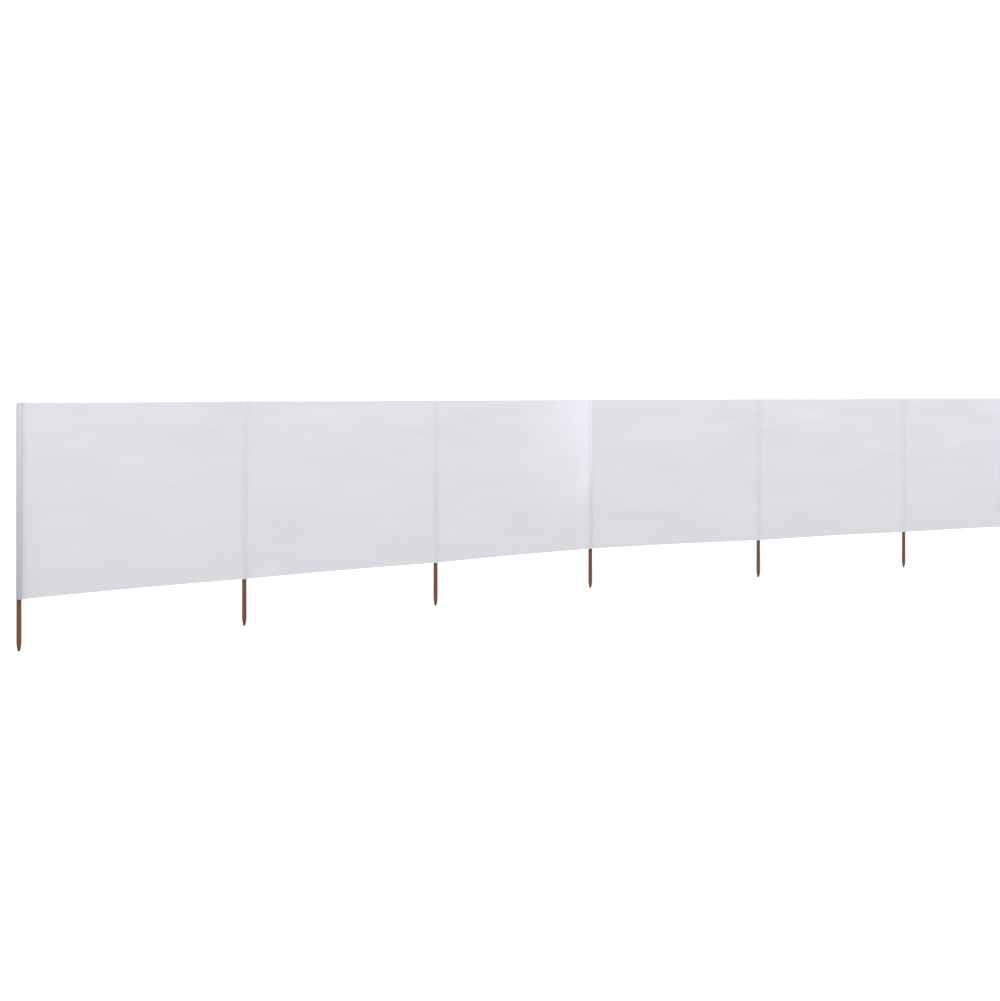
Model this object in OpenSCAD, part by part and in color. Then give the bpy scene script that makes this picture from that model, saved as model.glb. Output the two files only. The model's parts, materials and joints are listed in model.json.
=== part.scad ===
// Beach windbreak: one long fabric screen on round wooden poles, pushed into the sand.
// The row runs along X, its front faces -Y, and the tip of the middle pole is the origin.

/* [Screen] */
// Length of the whole fabric, measured along the row
fabric_l = 8000; // [5000:50:10000]
// Height of the fabric
fabric_h = 950; // [600:10:1400]
// Thickness of one layer of fabric, with its slight slack
fabric_t = 1.2; // [1:0.1:1.6]
// Turn of each half of the row towards the front, in degrees
half_turn = 6.5; // [0:0.5:12]
// Extra turn of every bay to one side and the other in turn, in degrees
zigzag = 1.2; // [0:0.1:3]

/* [Poles] */
// Diameter of a pole
pole_d = 24; // [16:0.5:30]
// Length of bare pole below the fabric
pole_out = 250; // [120:10:400]
// Length of the rounded point at the foot of a pole
tip_l = 44; // [20:1:70]
// Diameter of the blunt face at the end of the point
tip_d = 7; // [4:0.5:12]
// Fullness of the point: 1 is slim, and less is fuller
tip_power = 0.7; // [0.5:0.05:1]
// Bevel round the upper end of a pole
pole_bevel = 1; // [0.5:0.5:3]

/* [Sleeves and hems] */
// Thickness of the sleeve's wall, which is fabric folded double
sleeve_t = 1.2; // [0.8:0.1:2]
// Clearance between a pole and its sleeve
sleeve_fit = 0.3; // [0.2:0.1:1]
// Empty length of sleeve above the pole's upper end, under the closed top
sleeve_top_fit = 28; // [4:1:60]
// Height of the folded hem along the fabric's edges
hem_h = 22; // [10:1:35]
// Thickness of the folded hem
hem_t = 2; // [1.6:0.1:2.4]
// Clearance between a sleeve and the fabric beside it
side_fit = 0.3; // [0.2:0.1:1]

/* [Hidden] */
$fn = 48;
tip_steps = 8;
bay_count = 6;
pole_count = bay_count + 1;
middle_pole = bay_count / 2;

sleeve_in_r = pole_d / 2 + sleeve_fit;
sleeve_r = sleeve_in_r + sleeve_t;
total_h = pole_out + fabric_h;
pole_l = total_h - sleeve_t - sleeve_top_fit;
bay_l = (fabric_l - 2 * sleeve_r) / bay_count;
fabric_start = sleeve_r + side_fit;
span_l = bay_l - 2 * fabric_start;

// Plan angle of a bay: each half leans forward, and the bays zigzag a little
function bay_turn(k) =
    (k < middle_pole ? half_turn : -half_turn) + (k % 2 == 0 ? zigzag : -zigzag);

// Plan position of a pole, counted from the first one
function along(k) =
    k == 0 ? [0, 0] : along(k - 1) + bay_l * [cos(bay_turn(k - 1)), sin(bay_turn(k - 1))];

function pole_place(k) = along(k) - along(middle_pole);

function numbered(name, count) = [for (k = [1:count]) str(name, "_", k)];

module at_pole(k) {
    translate(pole_place(k))
        children();
}

module in_bay(k) {
    at_pole(k)
        rotate([0, 0, bay_turn(k)])
            children();
}

// Flat strip of fabric between the sleeves of one bay
module strip(thickness, low, high) {
    translate([fabric_start, -thickness / 2, low])
        cube([span_l, thickness, high - low]);
}

// Half outline of a pole: blunt tip, rounded point, straight shaft and bevelled top
module pole_outline() {
    tip_r = tip_d / 2;
    pole_r = pole_d / 2;
    point = [
        for (i = [0:tip_steps])
            let (up = 1 - cos(90 * i / tip_steps))
                [tip_r + (pole_r - tip_r) * pow(sin(90 * up), tip_power), tip_l * up]
    ];
    polygon(concat(
        [[0, 0]],
        point,
        [[pole_r, pole_l - pole_bevel], [pole_r - pole_bevel, pole_l], [0, pole_l]]
    ));
}

module pole(k) {
    color("#7a4a3c")
        at_pole(k)
            rotate_extrude()
                pole_outline();
}

// Tunnel of fabric round a pole, closed at the top so that the pole can't slip through
module sleeve(k) {
    color("#d9d9de")
        at_pole(k)
            difference() {
                translate([0, 0, pole_out])
                    cylinder(r = sleeve_r, h = fabric_h);
                translate([0, 0, pole_out - 1])
                    cylinder(r = sleeve_in_r, h = fabric_h - sleeve_t + 1);
            }
}

module panel(k) {
    color("#e0e0e6")
        in_bay(k)
            strip(fabric_t, pole_out + hem_h, total_h - hem_h);
}

module top_hem(k) {
    color("#e4e4ea")
        in_bay(k)
            strip(hem_t, total_h - hem_h, total_h);
}

module bottom_hem(k) {
    color("#dadade")
        in_bay(k)
            strip(hem_t, pole_out, pole_out + hem_h);
}

for (k = [0:pole_count - 1]) {
    pole(k);
    sleeve(k);
}
for (k = [0:bay_count - 1]) {
    panel(k);
    top_hem(k);
    bottom_hem(k);
}
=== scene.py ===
import json
import math

import bpy
import numpy as np
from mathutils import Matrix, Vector

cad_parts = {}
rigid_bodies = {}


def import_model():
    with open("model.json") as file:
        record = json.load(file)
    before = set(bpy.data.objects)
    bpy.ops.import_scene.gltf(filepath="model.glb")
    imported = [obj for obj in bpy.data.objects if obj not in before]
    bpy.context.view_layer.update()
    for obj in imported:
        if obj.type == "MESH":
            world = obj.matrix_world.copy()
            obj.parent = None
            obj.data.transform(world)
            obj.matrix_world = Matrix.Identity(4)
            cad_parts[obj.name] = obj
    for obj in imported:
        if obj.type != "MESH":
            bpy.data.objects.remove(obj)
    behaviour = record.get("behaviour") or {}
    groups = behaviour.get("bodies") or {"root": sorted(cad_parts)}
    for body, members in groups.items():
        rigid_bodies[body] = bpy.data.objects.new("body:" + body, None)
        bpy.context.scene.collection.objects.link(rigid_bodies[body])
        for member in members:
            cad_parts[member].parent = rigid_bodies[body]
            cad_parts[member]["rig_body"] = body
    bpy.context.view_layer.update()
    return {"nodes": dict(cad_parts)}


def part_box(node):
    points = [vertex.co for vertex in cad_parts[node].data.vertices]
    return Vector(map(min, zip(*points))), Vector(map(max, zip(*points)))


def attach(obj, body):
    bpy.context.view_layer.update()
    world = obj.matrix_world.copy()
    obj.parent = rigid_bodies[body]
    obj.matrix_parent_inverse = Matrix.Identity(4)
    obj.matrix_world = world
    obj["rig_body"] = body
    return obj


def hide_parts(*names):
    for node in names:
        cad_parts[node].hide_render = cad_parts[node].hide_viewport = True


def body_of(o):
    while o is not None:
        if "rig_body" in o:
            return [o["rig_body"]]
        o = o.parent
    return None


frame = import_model()

poleCount = 7
bayCount = 6
middlePole = 4
paintedLightBays = (3, 6)       # their last part is paler, as painted light, and fuller
millimetre = 0.001


# Hex sRGB text to linear light: each channel is divided by 12.92 below the toe and raised to 2.4 above it
def toLinear(hexText):
    channels = [int(hexText[i:i + 2], 16) / 255 for i in (1, 3, 5)]
    linear = [c / 12.92 if c <= 0.04045 else ((c + 0.055) / 1.055) ** 2.4 for c in channels]
    return (*linear, 1.0)


# Adds one node. A value that is a socket is linked, any other value is set on the input.
def addNode(tree, kind, inputs=None, **settings):
    made = tree.nodes.new(kind)
    for name, value in settings.items():
        setattr(made, name, value)
    for name, value in (inputs or {}).items():
        if isinstance(value, bpy.types.NodeSocket):
            tree.links.new(value, made.inputs[name])
        else:
            made.inputs[name].default_value = value
    return made


# An empty node material and its tree
def newMaterial(name):
    material = bpy.data.materials.new(name)
    material.use_nodes = True
    material.node_tree.nodes.clear()
    return material, material.node_tree


# Colour stops of a ramp: pairs of place and hex colour
def setRamp(ramp, stops):
    while len(ramp.elements) < len(stops):
        ramp.elements.new(0.5)
    for element, (place, colour) in zip(ramp.elements, stops):
        element.position = place
        element.color = toLinear(colour)


# Rises smoothly from 0 at low to 1 at high: 3t^2 - 2t^3 of the share between them
def smoothStep(x, low, high):
    t = np.clip((x - low) / (high - low), 0, 1)
    return t * t * (3 - 2 * t)


# Quads between neighbouring rows and columns of a grid; wrap joins the last column to the first
def gridQuads(rows, columns, wrap, base=0):
    i, j = np.meshgrid(np.arange(rows - 1), np.arange(columns if wrap else columns - 1), indexing="ij")
    k = (j + 1) % columns
    quads = np.stack([i * columns + j, (i + 1) * columns + j, (i + 1) * columns + k, i * columns + k], -1)
    return quads.reshape(-1, 4) + base


# A smooth mesh object of points and faces at the origin, with the cloth's own map where it has one
def makePiece(name, points, faces, material, uv=None):
    mesh = bpy.data.meshes.new(name)
    mesh.from_pydata(points.reshape(-1, 3).tolist(), [], faces)
    mesh.polygons.foreach_set("use_smooth", np.ones(len(mesh.polygons), bool))
    if uv is not None:
        corner = np.empty(len(mesh.loops), np.int32)
        mesh.loops.foreach_get("vertex_index", corner)
        layer = mesh.uv_layers.new(name="cloth")
        layer.data.foreach_set("uv", uv.reshape(-1, 2)[corner].astype(np.float32).ravel())
    mesh.update()
    mesh.materials.append(material)
    piece = bpy.data.objects.new(name, mesh)
    bpy.context.scene.collection.objects.link(piece)
    return piece


# Keeps a share worked out for each point of a piece where its material reads it
def addShare(piece, name, amount):
    layer = piece.data.attributes.new(name, "FLOAT", "POINT")
    layer.data.foreach_set("value", amount.astype(np.float32).ravel())


# Places are taken from the CAD nodes
def centreOf(node):
    low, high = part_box(node)
    return np.array([(low.x + high.x) / 2, (low.y + high.y) / 2])


poleCentres = [centreOf(f"pole_{k}") for k in range(1, poleCount + 1)]
poleLow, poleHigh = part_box(f"pole_{middlePole}")
sleeveLow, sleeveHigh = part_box(f"sleeve_{middlePole}")
poleRadius = (poleHigh.x - poleLow.x) / 2
sleeveRadius = (sleeveHigh.x - sleeveLow.x) / 2
clothBottom, clothTop = sleeveLow.z, sleeveHigh.z
clothHeight = clothTop - clothBottom
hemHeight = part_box("top_hem_3")[1].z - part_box("top_hem_3")[0].z
bodyOfPole = {k: body_of(frame["nodes"][f"pole_{k}"])[0] for k in range(1, poleCount + 1)}
bodyOfBay = {k: body_of(frame["nodes"][f"panel_{k}"])[0] for k in range(1, bayCount + 1)}


# Woven polyester canvas, dyed white: plain matt cloth whose thick and thin yarns leave faint streaks
# along the row, with broad soft patches of tone, painted shade that darkens it towards the bottom edge and
# beside the poles, and painted light at the ends of two bays
canvas = {
    "light": "#e2e5e9",
    "mid": "#e0e0e5",
    "shade": "#dcdbe0",
    # painted shade: the cloth's colour at its bottom edge
    "foot": "#d6d5db",
    "seam": "#b9b7c1",          # painted shade beside a pole
    "paintedLight": "#f3f4fe",          # painted light: the paler end of two of the bays, and the narrow fold beside a pole
    "roughness": 0.82,
    "sheen": 0.08,
    "threadSpacing": 1.8,       # mm; the real 0.6 mm weave is too fine to show, so it is three times as coarse
    "threadDepth": 0.09,        # mm
    "slubLength": 380.0,        # mm
    "slubWidth": 14.0,          # mm
    "slubShare": 0.17,          # share of the tone that the slubs give, and the broad patches give the rest
    "slubRelief": 1.5,          # height of the slubs against the threads
    "patchesAlong": 1.7,        # broad patches of tone in a metre along the row
    "patchesUp": 6.2,           # and up the cloth
    "patchTurn": 0.07,          # radians that the patches lean
    "tones": (0.29, 0.5, 0.71),     # places of shade, mid and light in the noise
    "paintedShadeAtFoot": 0.75,          # how far the tone has turned to the painted shade of the foot at the bottom edge
}


def makeCanvas(name, settings):
    material, tree = newMaterial(name)
    place = addNode(tree, "ShaderNodeTexCoord").outputs["UV"]     # the cloth's own map, in metres
    apart = addNode(tree, "ShaderNodeSeparateXYZ", {0: place})
    slubPlace = addNode(tree, "ShaderNodeMapping", {
        "Vector": place,
        "Scale": (1000 / settings["slubLength"], 1000 / settings["slubWidth"], 1.0)})
    slub = addNode(tree, "ShaderNodeTexNoise", {
        "Vector": slubPlace.outputs[0], "Scale": 1.0, "Detail": 3.0, "Roughness": 0.6})
    patchPlace = addNode(tree, "ShaderNodeMapping", {
        "Vector": place, "Scale": (settings["patchesAlong"], settings["patchesUp"], 1.0),
        "Rotation": (0, 0, settings["patchTurn"])})
    patch = addNode(tree, "ShaderNodeTexNoise", {
        "Vector": patchPlace.outputs[0], "Scale": 1.0, "Detail": 2.0, "Roughness": 0.5})
    slubTone = addNode(tree, "ShaderNodeMath", {
        0: slub.outputs[0], 1: settings["slubShare"]}, operation="MULTIPLY")
    tone = addNode(tree, "ShaderNodeMath", {
        0: patch.outputs[0], 1: 1 - settings["slubShare"], 2: slubTone.outputs[0]}, operation="MULTIPLY_ADD")
    ramp = addNode(tree, "ShaderNodeValToRGB", {0: tone.outputs[0]})
    setRamp(ramp.color_ramp, [
        (stop, settings[colour]) for stop, colour in zip(settings["tones"], ("shade", "mid", "light"))])
    # painted shade: the tone turns darker towards the bottom edge
    foot = addNode(tree, "ShaderNodeMapRange", {
        "Value": apart.outputs[1], "From Min": clothBottom, "From Max": clothTop,
        "To Min": settings["paintedShadeAtFoot"], "To Max": 0.0})
    colour = addNode(tree, "ShaderNodeMix", {
        "Factor": foot.outputs[0], 6: ramp.outputs[0], 7: toLinear(settings["foot"])}, data_type="RGBA")
    for share in ("paintedLight", "seam"):      # painted light and painted shade, shares worked out for each point of the cloth
        amount = addNode(tree, "ShaderNodeAttribute", attribute_name=share)
        colour = addNode(tree, "ShaderNodeMix", {
            "Factor": amount.outputs["Fac"], 6: colour.outputs[2],
            7: toLinear(settings[share])}, data_type="RGBA")
    turns = math.tau * 1000 / settings["threadSpacing"]
    threads = []
    for axis in (0, 1):     # threads across the row, then along it, each a sine of its place
        angle = addNode(tree, "ShaderNodeMath", {0: apart.outputs[axis], 1: turns}, operation="MULTIPLY")
        threads.append(addNode(tree, "ShaderNodeMath", {0: angle.outputs[0]}, operation="SINE").outputs[0])
    weave = addNode(tree, "ShaderNodeMath", {0: threads[0], 1: threads[1]}, operation="MULTIPLY")
    relief = addNode(tree, "ShaderNodeMath", {
        0: slub.outputs[0], 1: settings["slubRelief"], 2: weave.outputs[0]}, operation="MULTIPLY_ADD")
    bump = addNode(tree, "ShaderNodeBump", {
        "Height": relief.outputs[0], "Strength": 0.7, "Distance": settings["threadDepth"] * millimetre})
    shader = addNode(tree, "ShaderNodeBsdfPrincipled", {
        "Base Color": colour.outputs[2], "Roughness": settings["roughness"], "IOR": 1.5,
        "Specular IOR Level": 0.3, "Sheen Weight": settings["sheen"], "Sheen Roughness": 0.5,
        "Normal": bump.outputs[0]})
    addNode(tree, "ShaderNodeOutputMaterial", {"Surface": shader.outputs[0]})
    return material


# The same canvas sewn round a pole: the dark wood shows faintly through it where the pole fills it
sleeveCanvas = {
    # share of the height, and the colour there: lighter towards the top, partly where the pole ends and partly
    # painted light that evens out the shading of the narrowed top
    "stops": [(0.0, "#d3d1d8"), (0.4, "#d6d5db"), (0.86, "#dbdadf"), (0.95, "#dfdee3")],
    "roughness": 0.84,
    "sheen": 0.08,
    "paintedLight": "#f1f0f3",          # painted light on the flank towards the bay before
    "threadSpacing": 1.8,       # mm, three times as coarse as the real weave, like the screen's
    "threadDepth": 0.09,        # mm
    "unevenScale": 14.0,        # patches in a metre
    "unevenReach": 0.09,        # metres that the tones wander up and down
    "unevenRelief": 2.0,        # height of the patches against the threads
}
endSleevePaintedShadeCanvas = dict(sleeveCanvas, stops=[   # single cloth at the row's two ends, darker all over and darkest at the foot as painted shade
    (0.0, "#b2b0b8"), (0.35, "#c0bfc7"), (0.8, "#d0cfd6"), (0.96, "#d6d5dc")])
middleSleevePaintedLightCanvas = dict(sleeveCanvas, stops=[   # lighter in its upper half as painted light, beside the painted light of the bay before
    (0.0, "#cdcbd2"), (0.40, "#d6d4db"), (0.60, "#e6e5eb"), (1.0, "#ebeaf0")])


def makeSleeveCanvas(name, settings):
    material, tree = newMaterial(name)
    place = addNode(tree, "ShaderNodeTexCoord").outputs["Object"]
    apart = addNode(tree, "ShaderNodeSeparateXYZ", {0: place})
    uneven = addNode(tree, "ShaderNodeTexNoise", {
        "Vector": place, "Scale": settings["unevenScale"], "Detail": 3.0})
    height = addNode(tree, "ShaderNodeMath", {
        0: uneven.outputs[0], 1: settings["unevenReach"], 2: apart.outputs[2]}, operation="MULTIPLY_ADD")
    raised = settings["unevenReach"] / 2        # the noise is a half on average
    share = addNode(tree, "ShaderNodeMapRange", {
        "Value": height.outputs[0], "From Min": clothBottom + raised, "From Max": clothTop + raised})
    ramp = addNode(tree, "ShaderNodeValToRGB", {0: share.outputs[0]})
    setRamp(ramp.color_ramp, settings["stops"])
    # painted light on the flank towards the bay before
    paintedLift = addNode(tree, "ShaderNodeAttribute", attribute_name="paintedLight")
    colour = addNode(tree, "ShaderNodeMix", {
        "Factor": paintedLift.outputs["Fac"], 6: ramp.outputs[0], 7: toLinear(settings["paintedLight"])}, data_type="RGBA")
    turns = math.tau * 1000 / settings["threadSpacing"]
    angle = addNode(tree, "ShaderNodeMath", {0: apart.outputs[2], 1: turns}, operation="MULTIPLY")
    weft = addNode(tree, "ShaderNodeMath", {0: angle.outputs[0]}, operation="SINE")
    relief = addNode(tree, "ShaderNodeMath", {
        0: uneven.outputs[0], 1: settings["unevenRelief"], 2: weft.outputs[0]}, operation="MULTIPLY_ADD")
    bump = addNode(tree, "ShaderNodeBump", {
        "Height": relief.outputs[0], "Strength": 0.5, "Distance": settings["threadDepth"] * millimetre})
    shader = addNode(tree, "ShaderNodeBsdfPrincipled", {
        "Base Color": colour.outputs[2], "Roughness": settings["roughness"], "IOR": 1.5,
        "Specular IOR Level": 0.3, "Sheen Weight": settings["sheen"], "Sheen Roughness": 0.5,
        "Normal": bump.outputs[0]})
    addNode(tree, "ShaderNodeOutputMaterial", {"Surface": shader.outputs[0]})
    return material


# Turned pine, stained red-brown and varnished: streaks of darker late wood along the pole under a thin gloss,
# darker where the point has worn, and with a painted shadow on the bare wood just under the sleeve's edge
stainedPine = {
    "early": "#80513b",
    "mid": "#6e4634",
    "late": "#4c3026",
    "point": "#4f3a33",
    # painted shadow on the bare wood just under the sleeve's edge
    "paintedShadowUnderSleeve": "#3a2b27",
    "roughness": 0.5,
    "varnish": 0.08,
    "grainWidth": 2.2,          # mm across a streak
    "grainLength": 90.0,        # mm along the pole
    "grainDepth": 0.12,         # mm
    "poreShare": 0.3,           # share of the tone that the fine pores give
    "tones": (0.30, 0.47, 0.68),    # places of late, mid and early wood in the grain
    "ragged": 0.012,            # metres that the grain shifts the edges of the worn point and of the painted shadow
    "pointFrom": 0.012,         # height in metres below which the point is worn
    "pointTo": 0.040,           # and above which it isn't
    "pointShare": 0.8,          # how far the worn point turns to its colour
    "paintedShadowShare": 0.85,        # and the painted shadow under the sleeve
    "glossSpread": 0.08,        # the darkest grain is rougher than the palest by twice this
}


def makePine(name, settings):
    material, tree = newMaterial(name)
    place = addNode(tree, "ShaderNodeTexCoord").outputs["Object"]
    apart = addNode(tree, "ShaderNodeSeparateXYZ", {0: place})
    across, along = 1000 / settings["grainWidth"], 1000 / settings["grainLength"]
    grainPlace = addNode(tree, "ShaderNodeMapping", {"Vector": place, "Scale": (across, across, along)})
    grain = addNode(tree, "ShaderNodeTexNoise", {
        "Vector": grainPlace.outputs[0], "Scale": 1.0, "Detail": 4.0, "Roughness": 0.65, "Distortion": 0.4})
    porePlace = addNode(tree, "ShaderNodeMapping", {
        "Vector": place, "Scale": (across * 4, across * 4, along * 3)})      # a quarter as wide, a third as long
    pores = addNode(tree, "ShaderNodeTexNoise", {"Vector": porePlace.outputs[0], "Scale": 1.0, "Detail": 2.0})
    poreTone = addNode(tree, "ShaderNodeMath", {
        0: pores.outputs[0], 1: settings["poreShare"]}, operation="MULTIPLY")
    tone = addNode(tree, "ShaderNodeMath", {
        0: grain.outputs[0], 1: 1 - settings["poreShare"], 2: poreTone.outputs[0]}, operation="MULTIPLY_ADD")
    ramp = addNode(tree, "ShaderNodeValToRGB", {0: tone.outputs[0]})
    setRamp(ramp.color_ramp, [
        (stop, settings[colour]) for stop, colour in zip(settings["tones"], ("late", "mid", "early"))])
    height = addNode(tree, "ShaderNodeMath", {
        0: grain.outputs[0], 1: settings["ragged"], 2: apart.outputs[2]}, operation="MULTIPLY_ADD")
    atPoint = addNode(tree, "ShaderNodeMapRange", {
        "Value": height.outputs[0], "From Min": settings["pointFrom"], "From Max": settings["pointTo"],
        "To Min": settings["pointShare"], "To Max": 0.0})
    # painted shadow on the bare wood just under the sleeve's edge
    sleeveShadow = addNode(tree, "ShaderNodeMapRange", {
        "Value": height.outputs[0], "From Min": clothBottom - settings["ragged"], "From Max": clothBottom,
        "To Min": 0.0, "To Max": settings["paintedShadowShare"]})
    withPoint = addNode(tree, "ShaderNodeMix", {
        "Factor": atPoint.outputs[0], 6: ramp.outputs[0], 7: toLinear(settings["point"])}, data_type="RGBA")
    colour = addNode(tree, "ShaderNodeMix", {
        "Factor": sleeveShadow.outputs[0], 6: withPoint.outputs[2],
        7: toLinear(settings["paintedShadowUnderSleeve"])}, data_type="RGBA")
    gloss = addNode(tree, "ShaderNodeMapRange", {
        "Value": tone.outputs[0], "To Min": settings["roughness"] + settings["glossSpread"],
        "To Max": settings["roughness"] - settings["glossSpread"]})
    bump = addNode(tree, "ShaderNodeBump", {
        "Height": tone.outputs[0], "Strength": 0.6, "Distance": settings["grainDepth"] * millimetre})
    shader = addNode(tree, "ShaderNodeBsdfPrincipled", {
        "Base Color": colour.outputs[2], "Roughness": gloss.outputs[0], "IOR": 1.5, "Specular IOR Level": 0.2,
        "Coat Weight": settings["varnish"], "Coat Roughness": 0.25, "Normal": bump.outputs[0]})
    addNode(tree, "ShaderNodeOutputMaterial", {"Surface": shader.outputs[0]})
    return material


# Spun polyester sewing thread: white, slightly shiny, with painted shade in the hollows of its twist
thread = {
    "colour": "#edecf0",
    # painted shade in the hollows of the twist, drawn as darker diagonal bands
    "paintedTwistShade": "#d6d5da",
    "roughness": 0.55,
    "twistScale": 50.0,         # bands about 12.6 mm apart: the real twist of about 1 mm is too fine to show
}


def makeThread(name, settings):
    material, tree = newMaterial(name)
    place = addNode(tree, "ShaderNodeTexCoord").outputs["Object"]
    twist = addNode(tree, "ShaderNodeTexWave", {
        "Vector": place, "Scale": settings["twistScale"], "Distortion": 0.5},
        wave_type="BANDS", bands_direction="DIAGONAL")
    ramp = addNode(tree, "ShaderNodeValToRGB", {0: twist.outputs[1]})
    setRamp(ramp.color_ramp, [(0.0, settings["paintedTwistShade"]), (0.6, settings["colour"])])
    shader = addNode(tree, "ShaderNodeBsdfPrincipled", {
        "Base Color": ramp.outputs[0], "Roughness": settings["roughness"], "IOR": 1.5})
    addNode(tree, "ShaderNodeOutputMaterial", {"Surface": shader.outputs[0]})
    return material


screenMaterial = makeCanvas("woven polyester canvas", canvas)
sleeveMaterial = makeSleeveCanvas("woven polyester canvas round a pole", sleeveCanvas)
endSleevePaintedShadeMaterial = makeSleeveCanvas("woven polyester canvas round an end pole", endSleevePaintedShadeCanvas)
middleSleevePaintedLightMaterial = makeSleeveCanvas("woven polyester canvas round the middle pole", middleSleevePaintedLightCanvas)
pineMaterial = makePine("stained varnished pine", stainedPine)
threadMaterial = makeThread("spun polyester thread", thread)
print("materials made")


sleeveShape = {
    "outer": poleRadius + 0.95 * millimetre,
    "endOuter": poleRadius + 1.3 * millimetre,
    "inner": poleRadius + 0.25 * millimetre,
    "topRadius": 7.6 * millimetre,      # half width of the sewn-up top
    "endTopRadius": 11.2 * millimetre,  # and of the square corners at the row's two ends
    "taper": 32 * millimetre,           # height over which the empty top narrows
    "dome": 1.6 * millimetre,
    "hemSwell": 0.2 * millimetre,
    "fold": 0.18 * millimetre,          # height of the soft creases
    "topWall": 0.8 * millimetre,        # thickness of the wall in the narrowed top
    "seal": 0.2 * millimetre,           # how far the closed top stays below the top of the cloth
    # painted light: how much paler the flank towards the bay before is, and where that starts and is full
    "paintedLightFlank": (0.8, 0.60, 0.98),
    "middlePaintedLightFlank": (0.55, 0.35, 0.95),
    "aroundSteps": 44,
    "upSteps": 66,                      # along the straight part
    # once round the pole with 5 mm of slack, and 0.95 m with 25 mm for the foot's fold
    "flat": (0.086, 0.975),
}


# Outer radius of a pole's sleeve at a height: full width, narrowing smoothly over the taper to the sewn-up top,
# and swelled a little round the folded foot
def sleeveOutline(z, k):
    s = sleeveShape
    atEnd = k in (1, poleCount)
    outer, topRadius = (s["endOuter"], s["endTopRadius"]) if atEnd else (s["outer"], s["topRadius"])
    narrowing = smoothStep(z, clothTop - s["taper"], clothTop - 1 * millimetre)
    hem = 1 - smoothStep(z, clothBottom + hemHeight - 2 * millimetre, clothBottom + hemHeight)
    return outer - (outer - topRadius) * narrowing + s["hemSwell"] * hem


screen = {
    "cloth": 0.35 * millimetre,         # half the thickness of a single layer
    "hemFront": 0.25 * millimetre,      # how far the folded hem stands out in front
    "hemBack": 0.95 * millimetre,       # and behind, where its turned edge is
    "groove": 0.22 * millimetre,        # depth of the hem's stitched line
    "seamGroove": 0.3 * millimetre,     # and of the seam that closes a sleeve
    "trimStart": 9 * millimetre,        # from the pole's middle: the hem is single here
    "trimEnd": 22 * millimetre,         # and fully folded from here on
    "belly": 12 * millimetre,           # bulge towards the front in the middle of a bay
    "hemBelly": 0.35,                   # share of the bulge at the hems
    "bottomArch": 4 * millimetre,       # rise of the bottom edge mid-bay
    "topSag": 2 * millimetre,
    "waves": [(0.46, 2.6), (0.33, 1.9), (0.25, 1.3), (0.18, 0.8), (0.13, 0.4)],   # wavelength in m, height in mm
    "hemPucker": 0.45 * millimetre,
    "hemPuckerLength": 0.045,           # m from pucker to pucker
    "hemPuckerReach": 0.035,            # m over which they die away from the hem
    "seamPucker": 0.45 * millimetre,
    "seamPuckerLength": 0.07,
    "seamPuckerReach": 0.04,
    "fan": 0.4 * millimetre,            # creases that spread from the corners
    "fanReach": 0.16,                   # m from the corner, where they are highest
    "fanCreases": 11,                   # times the angle: nearly three creases in a quarter turn
    "tailReach": 42 * millimetre,       # from the pole's middle to the seam that closes its sleeve
    "tailFront": 1.9 * millimetre,      # fullness of the sleeve's flat part
    "tailBack": 1.0 * millimetre,
    "flare": 1.4 * millimetre,          # how far the cloth swings forward where it meets the next pole
    "swell": 9 * millimetre,            # extra fullness before the right-hand pole of the painted light bays
    "inset": 0.45 * millimetre,         # how far both ends reach into the sleeves' walls
    "alongSteps": 200,
    "turnSteps": 7,                     # round the top and the bottom edge
    "flat": (1.334, 1.000),             # 1.329 m from pole to pole, and 0.95 m with 25 mm turned in at both hems
}


# A bay: where it starts, its direction along the row and to the back, its length, and a source of random numbers
def bayFrame(k):
    start, end = poleCentres[k - 1], poleCentres[k]
    length = float(np.linalg.norm(end - start))
    along = (end - start) / length
    return {
        "number": k, "start": start, "along": along, "back": np.array([-along[1], along[0]]), "length": length,
        "random": np.random.default_rng(70 + k)}


# Numbers drawn once for each bay, so that the cloth and its stitches lie on one surface
def clothPhases(bay):
    draw = bay["random"]
    count = len(screen["waves"])
    return {
        "tilt": draw.uniform(-0.30, 0.22, count),       # radians that each wave leans
        "phase": draw.uniform(0, math.tau, count),
        "slow": draw.uniform(0, math.tau, count),
        "hem": draw.uniform(0, math.tau, 4),
        "seam": draw.uniform(0, math.tau, 4),
        "fan": draw.uniform(0, math.tau, 4),
    }


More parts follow.
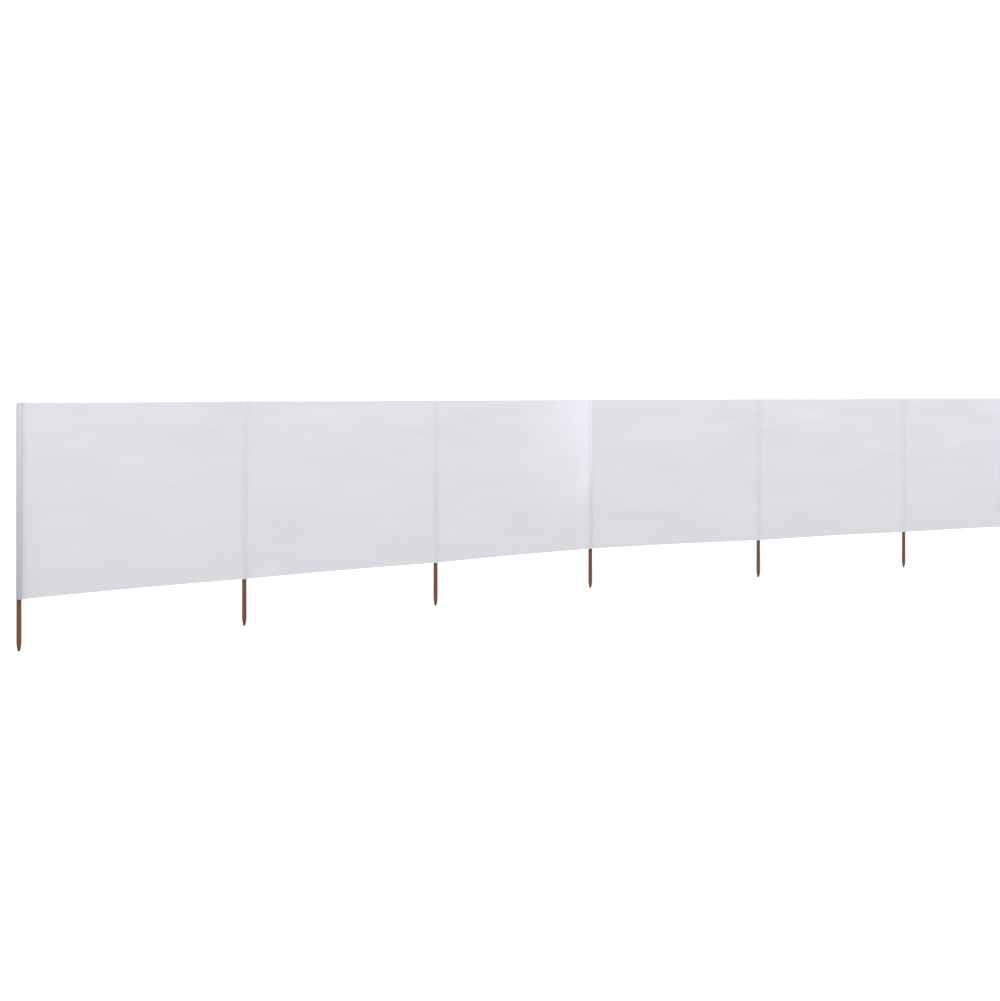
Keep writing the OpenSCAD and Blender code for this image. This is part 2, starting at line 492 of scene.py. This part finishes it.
# How far the middle of the cloth lies from the straight plane of its bay, towards the back, or to the front where
# it is negative: a bulge, half a sine wave each way; broad waves, each a sine across a slightly tilted direction,
# whose height rises and falls along the row; short puckers that die away from the hems and seams; and fans of
# creases that spread from the corners. Beside the poles the waves, hem puckers and fans are calmed to nothing.
def clothLie(bay, s, z):
    c, p = screen, bay["phases"]
    share = np.clip((s - sleeveRadius) / (bay["length"] - 2 * sleeveRadius), 0, 1)
    up = np.clip((z - clothBottom) / clothHeight, 0, 1)
    middle = np.sin(math.pi * share)
    free = c["hemBelly"] + (1 - c["hemBelly"]) * np.sin(math.pi * up) ** 0.85
    lie = -c["belly"] * middle ** 1.1 * free
    if bay["number"] in paintedLightBays:
        swell = smoothStep(share, 0.40, 0.80) * (1 - smoothStep(share, 0.78, 1.0))
        lie -= c["swell"] * swell * (0.35 + 0.65 * np.sin(math.pi * up ** 0.8))
    calm = smoothStep(share, 0.0, 0.07) * smoothStep(1 - share, 0.0, 0.07)
    for i, (length, height) in enumerate(c["waves"]):
        turned = s * np.sin(p["tilt"][i]) + z * np.cos(p["tilt"][i])
        swing = 0.6 + 0.4 * np.sin(math.tau * s / 0.9 + p["slow"][i])
        loose = 0.3 + 0.7 * np.sin(math.pi * up) ** 0.6
        lie += height * millimetre * swing * calm * loose * np.sin(math.tau * turned / length + p["phase"][i])
    for edge, distance in enumerate((z - clothBottom, clothTop - z)):
        wander = 0.9 * np.sin(math.tau * s / 0.31 + p["hem"][2 + edge])
        fading = np.exp(-np.abs(distance - 0.03) / c["hemPuckerReach"])
        lie += c["hemPucker"] * calm * fading * np.sin(
            math.tau * s / c["hemPuckerLength"] + p["hem"][edge] + wander)
    for edge, distance in enumerate((s - c["tailReach"], bay["length"] - sleeveRadius - s)):
        wander = 0.9 * np.sin(math.tau * z / 0.4 + p["seam"][2 + edge])
        fading = np.exp(-np.abs(distance) / c["seamPuckerReach"]) * smoothStep(distance, 0.0, 0.012)
        lie += c["seamPucker"] * np.where(distance > 0, fading, 0) * np.sin(
            math.tau * z / c["seamPuckerLength"] + p["seam"][edge] + wander)
    for corner in range(4):
        ds = s if corner % 2 == 0 else bay["length"] - s
        dz = z - clothBottom if corner < 2 else clothTop - z
        reach = (np.hypot(ds, dz) + 1e-6) / c["fanReach"]
        lie += c["fan"] * calm * reach * np.exp(1 - reach) * np.sin(
            c["fanCreases"] * np.arctan2(dz, ds) + p["fan"][corner])
    return lie


# Fullness of the sleeve's flat part between the pole and its seam: half a sine wave of the share to the power of
# three quarters, so it rises quickly from the pole and runs out at the seam
def tailFullness(bay, s):
    reach = screen["tailReach"] - sleeveRadius
    left = np.clip((s - sleeveRadius) / reach, 0, 1)
    full = np.sin(math.pi * left ** 0.75)
    if bay["number"] == bayCount:
        right = np.clip((bay["length"] - sleeveRadius - s) / reach, 0, 1)
        full = full + np.sin(math.pi * right ** 0.75)
    return np.maximum(full, 0)


stitchedLine = 0.8 * hemHeight          # height of the hem's stitches above the edge


# Point of the cloth at length s and height z; side runs from -1 on the front face to 1 on the back face.
# The place across is the lie of the cloth plus side times half its thickness, which the folded hems and the
# flat part of a sleeve make more. The hems are trimmed thin beside the poles, so that two bays can fold together.
# The bottom edge arches and the top edge sags by a sine along the bay.
def clothPoint(bay, s, z, side):
    c = screen
    edge = np.minimum(z - clothBottom, clothTop - z)
    trimmed = smoothStep(np.minimum(s, bay["length"] - s), c["trimStart"], c["trimEnd"])
    hem = trimmed * (1 - smoothStep(edge, hemHeight - 1.5 * millimetre, hemHeight + 0.8 * millimetre))
    groove = c["groove"] * np.exp(-((edge - stitchedLine) / (1.5 * millimetre)) ** 2)
    seam = c["seamGroove"] * np.exp(-((s - c["tailReach"]) / (1.8 * millimetre)) ** 2)
    full = tailFullness(bay, s)
    meeting = np.sin(math.pi * np.clip((bay["length"] - sleeveRadius - s) / (30 * millimetre), 0, 1) ** 0.6)
    flare = 0 if bay["number"] == bayCount else c["flare"] * meeting
    front = c["cloth"] + c["hemFront"] * hem + c["tailFront"] * full + flare - groove - seam
    back = c["cloth"] + c["hemBack"] * hem + c["tailBack"] * full - groove - seam
    across = clothLie(bay, s, z) + (back - front) / 2 + side * (back + front) / 2
    share = np.clip(s / bay["length"], 0, 1)
    up = np.clip((z - clothBottom) / clothHeight, 0, 1)
    lifted = z + np.sin(math.pi * share) * (c["bottomArch"] * (1 - up) ** 2 - c["topSag"] * up ** 2)
    flat = bay["start"] + s[..., None] * bay["along"] + across[..., None] * bay["back"]
    return np.concatenate([flat, lifted[..., None]], -1)


# Painted light: a narrow paler fold where the cloth meets the next pole, and in the painted light bays a broad
# share that rises over the last half of the bay and fades in its lower half
def paintedLightShare(k, share, fromRight, z):
    fold = 0.24 * (1 - smoothStep(fromRight, 0.013, 0.024)) if k != bayCount else np.zeros(z.shape)
    if k not in paintedLightBays:
        return fold
    up = (z - clothBottom) / clothHeight
    lean = 0.06 * np.sin(math.tau * up * 1.3)
    broad = 0.20 * smoothStep(share, 0.45, 0.8) + 0.42 * smoothStep(share + lean, 0.72, 1.0)
    return np.maximum(fold, broad * smoothStep(up, 0.16, 0.58))


# Painted shade beside the poles, gone about 50 mm away: stronger at the row's two ends, where a fainter share
# reaches further towards the foot, and elsewhere weaker in the empty top, and a little off the pole on its
# unsewn side
def paintedSeamShade(k, fromLeft, fromRight, z):
    up = np.clip((z - clothBottom) / clothHeight, 0, 1)
    total = np.zeros(z.shape)
    for distance, atEnd in ((fromLeft, k == 1), (fromRight, k == bayCount)):
        if atEnd:
            lighter = 0.55 + 0.45 * smoothStep(distance, 0.010, 0.030)
            total += 0.5 * (1 - smoothStep(distance, 0.0, 0.050)) * lighter
            total += 0.17 * (1 - up) ** 2 * (1 - smoothStep(distance, 0.04, 0.16))
        else:
            strength = 0.06 if distance is fromLeft else 0.05 * smoothStep(distance, 0.012, 0.024)
            total += strength * (1 - 0.6 * smoothStep(up, 0.86, 0.97)) * (1 - smoothStep(distance, 0.010, 0.045))
    return np.clip(total, 0, 1)


# Heights of the rows of the front face: close together in the hems, even between them
def faceHeights():
    near = np.array([1.2, 3, 6, 9.5, 13, 15.5, 17, 18.5, 20, 21, 22, 23, 25, 28, 33, 39, 46]) * millimetre
    even = np.linspace(near[-1], clothHeight - near[-1], 80)[1:-1]
    return clothBottom + np.concatenate([near, even, clothHeight - near[::-1]])


# A screen is a grid of rings, one for each place along the bay: up the front face, over the top edge, down the
# back face and round the bottom edge. A ladder of quads with a fan at its top and bottom closes both ends.
def makeScreen(k):
    bay = bayFrame(k)
    bay["phases"] = clothPhases(bay)
    heights = faceHeights()
    turn = np.linspace(0, math.pi, screen["turnSteps"])[1:-1]
    foldHeight = heights[0] - clothBottom
    z = np.concatenate([
        heights, clothTop - foldHeight + foldHeight * np.sin(turn),
        heights[::-1], clothBottom + foldHeight - foldHeight * np.sin(turn)])
    side = np.concatenate([-np.ones(len(heights)), -np.cos(turn), np.ones(len(heights)), np.cos(turn)])
    # the places along the bay lie close together beside the poles, and evenly between
    near = np.concatenate([np.linspace(0, 34, 14), np.array([37, 41, 46, 52, 59])]) * millimetre
    last = np.array([40, 30, 22, 16, 11, 7, 4, 1.5, 0]) * millimetre
    span = bay["length"] - 2 * sleeveRadius
    if k == bayCount:
        last = near[::-1]
    even = np.linspace(near[-1], span - last[0], screen["alongSteps"] - len(near) - len(last) + 2)[1:-1]
    share = np.concatenate([near, even, span - last]) / span
    insetLeft = sleeveOutline(z, k) - screen["inset"]
    insetRight = sleeveOutline(z, k + 1) - screen["inset"]
    s = insetLeft[None, :] + share[:, None] * (bay["length"] - insetLeft - insetRight)[None, :]
    zz, ss = np.broadcast_to(z, s.shape), np.broadcast_to(side, s.shape)
    points = clothPoint(bay, s, zz, ss)
    rows, ring = s.shape
    faces = gridQuads(rows, ring, wrap=True).tolist()
    count, arc = len(heights), len(turn)
    front = np.arange(count)
    back = count + arc + (count - 1 - front)
    ladder = np.stack([front[:-1], front[1:], back[1:], back[:-1]], -1)
    topFan = [count - 1, *range(count, count + arc), count + arc]
    bottomFan = [2 * count + arc - 1, *range(2 * count + arc, ring), 0]
    for base, flip in ((0, 1), ((rows - 1) * ring, -1)):
        faces += [q[::flip] for q in (ladder + base).tolist()]
        faces += [[v + base for v in fan][::flip] for fan in (topFan, bottomFan)]
    uv = np.stack([s + (k - 1) * bay["length"], zz], -1)
    piece = makePiece(f"screen_{k}", points, faces, screenMaterial, uv)
    fromRight = bay["length"] - s
    # painted light and painted shade for each point of the cloth
    addShare(piece, "paintedLight", paintedLightShare(k, s / bay["length"], fromRight, zz))
    addShare(piece, "seam", paintedSeamShade(k, s, fromRight, zz))
    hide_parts(f"panel_{k}", f"top_hem_{k}", f"bottom_hem_{k}")
    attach(piece, bodyOfBay[k])
    return piece, bay


screens, bays = {}, {}
for k in range(1, bayCount + 1):
    screens[k], bays[k] = makeScreen(k)
print("screens made")


# An outline turned round a pole's axis: a ring of points for each height, and the first and last ring closed on
# a point on the axis. The outline runs down the outside, or up it when upwards is set: faces then point outwards.
def turnedShape(k, radius, angle, height, firstZ, lastZ, upwards=False):
    centre = poleCentres[k - 1]
    rings = np.stack([centre[0] + radius * np.cos(angle), centre[1] + radius * np.sin(angle), height], -1)
    points = np.concatenate([rings.reshape(-1, 3), [[*centre, firstZ], [*centre, lastZ]]])
    rows, columns = radius.shape
    here, nextOne = np.arange(columns), (np.arange(columns) + 1) % columns
    lastRow = (rows - 1) * columns
    quads = gridQuads(rows, columns, wrap=True)
    start = np.stack([np.full(columns, rows * columns), here, nextOne], -1)
    end = np.stack([np.full(columns, rows * columns + 1), lastRow + nextOne, lastRow + here], -1)
    if upwards:
        quads, start, end = quads[:, ::-1], start[:, [0, 2, 1]], end[:, [0, 2, 1]]
    return points, quads.tolist() + start.tolist() + end.tolist()


# A sleeve is an outline turned round its pole: from the middle of the closed top, down the outside, round the fold
# at the foot and up the inside. Soft creases add a few sines of the angle and height to the outer radius.
# The share of painted light on the flank grows with minus the cosine of the angle.
def makeSleeve(k):
    s = sleeveShape
    wall = s["outer"] + s["hemSwell"] - s["inner"]
    footRadius = wall / 2
    heights = np.concatenate([
        np.linspace(clothBottom + footRadius, clothBottom + 0.03, 12)[:-1],
        np.linspace(clothBottom + 0.03, clothTop - s["taper"], s["upSteps"])[:-1],
        np.linspace(clothTop - s["taper"], clothTop - s["dome"], 16)])
    dome = np.linspace(0, math.pi / 2, 6)[1:-1]
    outerR, outerZ = sleeveOutline(heights, k), heights
    domeR = sleeveOutline(clothTop - s["dome"], k) * np.cos(dome)
    domeZ = clothTop - s["dome"] + (s["dome"] - s["seal"]) * np.sin(dome)
    foot = np.linspace(0, math.pi, 6)[1:-1]
    footR = (s["inner"] + outerR[0]) / 2 + (outerR[0] - s["inner"]) / 2 * np.cos(foot)
    footZ = clothBottom + footRadius - footRadius * np.sin(foot)
    innerZ = np.linspace(clothBottom + footRadius, clothTop - s["taper"] + 4 * millimetre, 24)
    innerTopZ = np.linspace(innerZ[-1], clothTop - s["dome"] - 1 * millimetre, 8)[1:]
    innerR = np.concatenate([
        np.full(len(innerZ), s["inner"]), np.minimum(s["inner"], sleeveOutline(innerTopZ, k) - s["topWall"])])
    innerZ = np.concatenate([innerZ, innerTopZ])
    r = np.concatenate([domeR[::-1], outerR[::-1], footR, innerR])
    z = np.concatenate([domeZ[::-1], outerZ[::-1], footZ, innerZ])
    outside = np.concatenate([
        np.zeros(len(domeR)), np.ones(len(outerR)), np.full(len(footR), 0.5), np.zeros(len(innerR))])
    angle = np.linspace(0, math.tau, s["aroundSteps"], endpoint=False)
    a, zz = np.meshgrid(angle, z)
    draw = np.random.default_rng(400 + k).uniform(0, math.tau, 6)
    crease = (np.sin(2 * a + math.tau * zz / 0.19 + draw[0]) * np.sin(math.tau * zz / 0.43 + draw[1])
              + 0.6 * np.sin(3 * a - math.tau * zz / 0.11 + draw[2]) * np.sin(math.tau * zz / 0.27 + draw[3])
              + 0.35 * np.sin(a + math.tau * zz / 0.06 + draw[4]))
    rr = r[:, None] + outside[:, None] * s["fold"] * crease * smoothStep(zz, clothBottom, clothBottom + 0.02)
    points, faces = turnedShape(k, rr, a, zz, clothTop - s["seal"], clothTop - s["dome"] - 0.6 * millimetre)
    special = {1: endSleevePaintedShadeMaterial, poleCount: endSleevePaintedShadeMaterial, middlePole: middleSleevePaintedLightMaterial}
    piece = makePiece(f"sleeve_cloth_{k}", points, faces, special.get(k, sleeveMaterial))
    liftShare, liftFrom, liftTo = s["middlePaintedLightFlank"] if k == middlePole else s["paintedLightFlank"]
    paintedLift = liftShare * smoothStep(-np.cos(a), liftFrom, liftTo) * (0 if k in (1, poleCount) else 1)
    addShare(piece, "paintedLight", np.concatenate([paintedLift.ravel(), [0.0, 0.0]]))
    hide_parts(f"sleeve_{k}")
    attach(piece, bodyOfPole[k])
    return piece


sleeves = {k: makeSleeve(k) for k in range(1, poleCount + 1)}
print("sleeves made")


stitch = {
    "length": 6.0 * millimetre,
    "spacing": 8.0 * millimetre,
    "radius": 0.35 * millimetre,
    "rise": 0.25 * millimetre,          # how far its middle stands up off the cloth
    "seamMargin": 6 * millimetre,       # bare length beside the sleeves
    "edgeMargin": 4 * millimetre,       # and at the top and bottom edge
    "stations": (0.04, 0.3, 0.7, 0.96),     # shares of a stitch's length
}


# Stitches as small four-sided grains: at each of four stations t along a stitch, a square of half width
# radius times sin(pi t) to the power 0.6, lifted by rise times sin(pi t), with the ends sunk in the cloth
def stitchGrid(centres, along, outward):
    t = np.array(stitch["stations"])
    size = 4 * len(t)
    fat = np.sin(math.pi * t) ** 0.6
    corner = np.arange(4) * math.pi / 2 + math.pi / 4
    sideways = np.cross(outward, along)
    core = (centres[:, None, :] + along[:, None, :] * ((t - 0.5) * stitch["length"])[None, :, None]
            + outward[:, None, :] * (stitch["rise"] * np.sin(math.pi * t))[None, :, None])
    ringOut = stitch["radius"] * fat[:, None] * np.sin(corner)[None, :]
    ringSide = stitch["radius"] * fat[:, None] * np.cos(corner)[None, :]
    points = (core[:, :, None, :] + outward[:, None, None, :] * ringOut[None, :, :, None]
              + sideways[:, None, None, :] * ringSide[None, :, :, None])
    ends = [[3, 2, 1, 0], [size - 4, size - 3, size - 2, size - 1]]
    one = np.concatenate([gridQuads(len(t), 4, wrap=True)[:, ::-1], ends])
    faces = (one[None, :, :] + size * np.arange(len(centres))[:, None, None]).reshape(-1, 4)
    return points, faces


# Stitches on the cloth at lengths s and heights z: the surface's directions are small differences along s and z
# of the same cloth formula that the screen uses
def clothStitches(bay, s, z, side, upright):
    step = 0.5 * millimetre
    sides = np.full(s.shape, float(side))
    here = clothPoint(bay, s, z, sides)
    alongS = clothPoint(bay, s + step, z, sides) - here
    alongZ = clothPoint(bay, s, z + step, sides) - here
    alongS /= np.linalg.norm(alongS, axis=1, keepdims=True)
    alongZ /= np.linalg.norm(alongZ, axis=1, keepdims=True)
    outward = np.cross(alongS, alongZ) * (-side)
    outward /= np.linalg.norm(outward, axis=1, keepdims=True)
    return stitchGrid(here, alongZ if upright else alongS, outward)


# Rows along both hems and up each sleeve's seam, on both faces
def makeStitches(k):
    bay = bays[k]
    margin = stitch["seamMargin"]
    row = np.arange(sleeveRadius + margin, bay["length"] - sleeveRadius - margin, stitch["spacing"])
    column = np.arange(clothBottom + stitch["edgeMargin"], clothTop - stitch["edgeMargin"], stitch["spacing"])
    seams = [screen["tailReach"]] + ([bay["length"] - screen["tailReach"]] if k == bayCount else [])
    parts = []
    for side in (-1, 1):
        for z in (clothBottom + stitchedLine, clothTop - stitchedLine):
            parts.append(clothStitches(bay, row, np.full(row.shape, z), side, upright=False))
        for s in seams:
            parts.append(clothStitches(bay, np.full(column.shape, s), column, side, upright=True))
    starts = np.cumsum([0] + [p[0].reshape(-1, 3).shape[0] for p in parts])
    points = np.concatenate([p[0].reshape(-1, 3) for p in parts])
    faces = np.concatenate([p[1] + start for p, start in zip(parts, starts)])
    piece = makePiece(f"seam_stitches_{k}", points, faces.tolist(), threadMaterial)
    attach(piece, bodyOfBay[k])
    return piece


threadEnd = {
    "angles": (200.0, 330.0, 255.0),    # degrees round the pole
    "lengths": (6, 11),                 # mm, the shortest and the longest
    "radius": 0.4 * millimetre,
    "start": 2.0 * millimetre,          # above the sleeve's foot
    "bulge": 0.9 * millimetre,          # how far it arches out from the sleeve on its way down
    "spread": 1.2 * millimetre,         # and how far its end hangs out
    "scatter": 0.4,                     # radians either way from its angle
    "curl": 0.35,                       # radians that it winds round the pole
    "steps": 9,
    "sides": 5,
}


# Loose ends of thread at the foot of a sleeve: thin tubes that leave the fold, hang and curl outwards
def makeThreadEnds(k):
    e = threadEnd
    draw = np.random.default_rng(900 + k)
    count, steps, sides = len(e["angles"]), e["steps"], e["sides"]
    angle = np.radians(np.array(e["angles"])) + draw.uniform(-e["scatter"], e["scatter"], count)
    length = draw.uniform(*e["lengths"], count) * millimetre
    t = np.linspace(0, 1, steps)
    out = sleeveShape["outer"] + e["bulge"] * np.sin(math.pi * t * 0.9) + e["spread"] * t
    turned = angle[:, None] + e["curl"] * np.sin(math.tau * t * 0.7)[None, :]
    x = out[None, :] * np.cos(turned)
    y = out[None, :] * np.sin(turned)
    z = clothBottom + e["start"] - length[:, None] * t[None, :]
    around = np.linspace(0, math.tau, sides, endpoint=False)
    fat = e["radius"] * np.sin(math.pi * np.clip(0.12 + 0.8 * t, 0, 1))
    centre = poleCentres[k - 1]
    points = np.stack([
        centre[0] + x[:, :, None] + fat[None, :, None] * np.cos(around),
        centre[1] + y[:, :, None] + fat[None, :, None] * np.sin(around),
        np.broadcast_to(z[:, :, None], (count, steps, sides))], -1)
    one = gridQuads(steps, sides, wrap=True)
    faces = (one[None] + steps * sides * np.arange(count)[:, None, None]).reshape(-1, 4).tolist()
    for i in range(count):
        first = i * steps * sides
        faces.append(list(range(first, first + sides)))
        faces.append(list(range(first + steps * sides - 1, first + (steps - 1) * sides - 1, -1)))
    piece = makePiece(f"thread_ends_{k}", points, faces, threadMaterial)
    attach(piece, bodyOfPole[k])
    return piece


stitches = {k: makeStitches(k) for k in range(1, bayCount + 1)}
threadEnds = {k: makeThreadEnds(k) for k in range(1, poleCount + 1)}
print("stitches made")


poleShape = {
    "tipLength": 44 * millimetre,
    "tipRadius": 3.5 * millimetre,
    "tipPower": 0.7,                    # 1 is a slim point, less is a fuller one
    "topBevel": 1 * millimetre,
    "wear": 0.18 * millimetre,          # dents round the point
    "bow": 0.05 * millimetre,           # unevenness left by turning
    "aroundSteps": 56,
    "tipSteps": 20,
}


# A pole is an outline turned round its axis: a blunt tip, a point whose radius grows as a power of the sine of
# its height, a straight shaft and a bevelled top. Sines of angle and height only ever take a little wood off.
def makePole(k):
    p = poleShape
    bottom, top = poleLow.z, poleHigh.z
    up = 1 - np.cos(np.linspace(0, math.pi / 2, p["tipSteps"]))
    pointR = p["tipRadius"] + (poleRadius - p["tipRadius"]) * np.sin(math.pi / 2 * up) ** p["tipPower"]
    pointZ = bottom + p["tipLength"] * up
    shaftZ = np.concatenate([
        np.linspace(pointZ[-1], clothBottom, 22)[1:], np.linspace(clothBottom, top - p["topBevel"], 14)[1:]])
    r = np.concatenate([
        [p["tipRadius"] * 0.55, p["tipRadius"] * 0.9], pointR[1:], np.full(len(shaftZ), poleRadius),
        [poleRadius - p["topBevel"] * 0.6, poleRadius - p["topBevel"] * 1.4]])
    z = np.concatenate([[bottom, bottom + 0.15 * millimetre], pointZ[1:], shaftZ, [top - 0.1 * millimetre, top]])
    angle = np.linspace(0, math.tau, p["aroundSteps"], endpoint=False)
    a, zz = np.meshgrid(angle, z)
    draw = np.random.default_rng(210 + k).uniform(0, math.tau, 6)
    # waves round the pole, and radians in a metre up it
    dents = (1 + np.sin(3 * a + zz * 900 + draw[0]) * np.sin(5 * a - zz * 1400 + draw[1])) / 2
    uneven = (1 + np.sin(2 * a + zz * 40 + draw[2]) * np.sin(zz * 75 + draw[3])) / 2
    nearTip = 1 - smoothStep(zz, bottom + 0.01, bottom + p["tipLength"] * 1.2)
    rr = r[:, None] - p["wear"] * dents * nearTip - p["bow"] * uneven
    points, faces = turnedShape(k, rr, a, zz, bottom, top, upwards=True)
    piece = makePiece(f"pole_wood_{k}", points, faces, pineMaterial)
    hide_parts(f"pole_{k}")
    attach(piece, bodyOfPole[k])
    return piece


for k in range(1, poleCount + 1):
    makePole(k)
print("poles made")


studio = {
    "sky": 0.835,               # even light from all round
    "sun": 0.70,                # strength of the soft lamp
    "sunAzimuth": -4.0,         # degrees from the front towards the row's right end
    "sunElevation": 42.0,
    "sunAngle": 24.0,           # degrees: a wide lamp throws soft shadows
    "floor": "#f4f4f4",
    "floorGlow": 0.32,          # lifts the floor to white where the camera sees it
    "floorSize": 400.0,         # m
    "floorDrop": 0.5 * millimetre,      # how far the floor lies below the tips
}


# 1 for a ray that comes from the camera, off a mirror or through glass, and 0 for the light that falls on things
def seenShare(tree):
    ray = addNode(tree, "ShaderNodeLightPath")
    seen = addNode(tree, "ShaderNodeMath", {
        0: ray.outputs["Is Camera Ray"], 1: ray.outputs["Is Glossy Ray"]}, operation="MAXIMUM")
    return addNode(tree, "ShaderNodeMath", {
        0: seen.outputs[0], 1: ray.outputs["Is Transmission Ray"]}, operation="MAXIMUM").outputs[0]


def makeStudio():
    scene = bpy.context.scene
    world = bpy.data.worlds.new("studio")
    scene.world = world
    world.use_nodes = True
    tree = world.node_tree
    tree.nodes.clear()
    strength = addNode(tree, "ShaderNodeMapRange", {
        "Value": seenShare(tree), "To Min": studio["sky"], "To Max": 1.0})
    glow = addNode(tree, "ShaderNodeBackground", {"Color": (1, 1, 1, 1), "Strength": strength.outputs[0]})
    addNode(tree, "ShaderNodeOutputWorld", {"Surface": glow.outputs[0]})

    lamp = bpy.data.lights.new("soft lamp", "SUN")
    lamp.energy = studio["sun"]
    lamp.angle = math.radians(studio["sunAngle"])
    azimuth, elevation = math.radians(studio["sunAzimuth"]), math.radians(studio["sunElevation"])
    level = math.cos(elevation)
    towards = Vector((math.sin(azimuth) * level, -math.cos(azimuth) * level, math.sin(elevation)))
    holder = bpy.data.objects.new("soft lamp", lamp)
    holder.rotation_euler = towards.to_track_quat("Z", "Y").to_euler()
    scene.collection.objects.link(holder)

    material, tree = newMaterial("white floor")
    strength = addNode(tree, "ShaderNodeMath", {
        0: seenShare(tree), 1: studio["floorGlow"]}, operation="MULTIPLY")
    lift = addNode(tree, "ShaderNodeEmission", {"Color": (1, 1, 1, 1), "Strength": strength.outputs[0]})
    matt = addNode(tree, "ShaderNodeBsdfDiffuse", {"Color": toLinear(studio["floor"])})
    both = addNode(tree, "ShaderNodeAddShader", {0: matt.outputs[0], 1: lift.outputs[0]})
    addNode(tree, "ShaderNodeOutputMaterial", {"Surface": both.outputs[0]})
    half = studio["floorSize"] / 2
    ground = poleLow.z - studio["floorDrop"]
    corners = np.array([[-half, -half, ground], [half, -half, ground], [half, half, ground], [-half, half, ground]])
    floor = makePiece("floor", corners, [[0, 1, 2, 3]], material)


cameraView = {
    "place": (-7.163, -8.703, 1.256),
    "turn": -36.53,             # degrees about the upright, level with the ground
    "lens": 63.6,               # mm
    "sensor": 36,               # mm wide
    "shiftUp": -0.1097,
    "reach": 500,               # m
}


def makeCamera():
    camera = bpy.data.cameras.new("view")
    camera.lens = cameraView["lens"]
    camera.sensor_width = cameraView["sensor"]
    camera.sensor_fit = "HORIZONTAL"
    camera.shift_y = cameraView["shiftUp"]
    camera.clip_end = cameraView["reach"]
    holder = bpy.data.objects.new("view", camera)
    holder.location = cameraView["place"]
    holder.rotation_euler = (math.radians(90), 0, math.radians(cameraView["turn"]))
    bpy.context.scene.collection.objects.link(holder)
    bpy.context.scene.camera = holder


makeStudio()
makeCamera()
bpy.context.scene.view_settings.view_transform = "Standard"
print("studio made")
